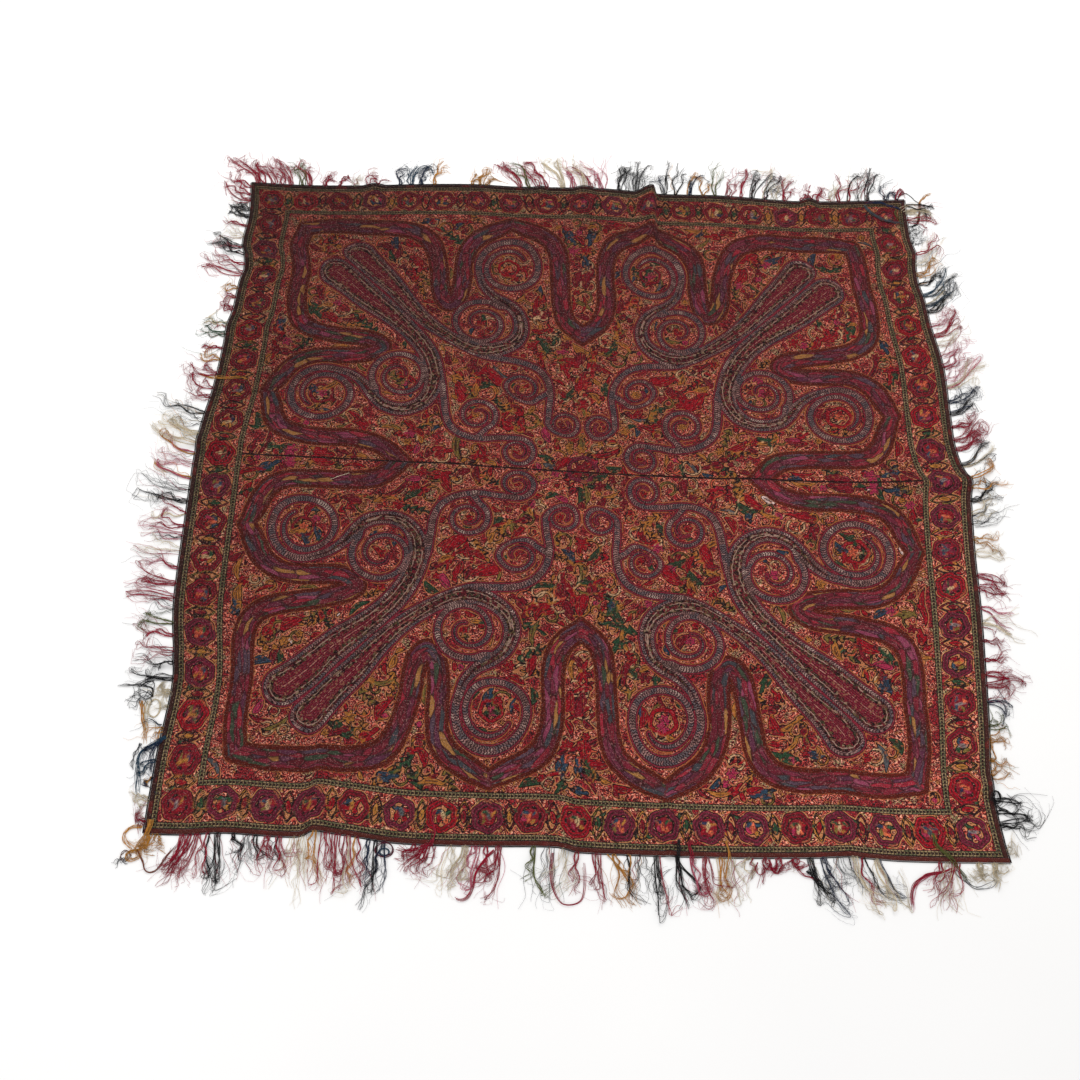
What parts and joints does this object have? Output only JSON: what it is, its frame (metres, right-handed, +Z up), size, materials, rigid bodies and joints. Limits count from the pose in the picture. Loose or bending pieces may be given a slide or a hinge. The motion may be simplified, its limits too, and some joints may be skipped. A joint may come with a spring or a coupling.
{
  "type": "kashmiri shawl",
  "caption": "Square Kashmiri wool shawl lying spread flat, with a pieced field, mitred border, bound edge and wool fringe on all sides.",
  "frame": {"origin": "middle of the fringed outline, on the floor that the shawl lies on", "axes": "+Z up from the floor, +Y to the far (north) edge, +X to the right (east) edge"},
  "size_m": [2.1644, 2.1602, 0.0383],
  "materials": {
    "field": "woven and embroidered wool, claret and coral with grey-lilac scrolls",
    "border": "woven and embroidered wool with round flower medallions",
    "edging": "dark brown wool band bound over the edge",
    "fringe": "loose wool locks in crimson, black, cream, gold, olive and navy"
  },
  "bodies": {
    "root": {"field_north": "field", "field_south": "field", "border_north": "border", "border_south": "border", "border_west_upper": "border", "border_west_lower": "border", "border_east_upper": "border", "border_east_lower": "border", "edging_north": "edging", "edging_south": "edging", "edging_east": "edging", "edging_west": "edging", "fringe_north": "fringe", "fringe_south": "fringe", "fringe_east": "fringe", "fringe_west": "fringe"}
  },
  "joints": []
}
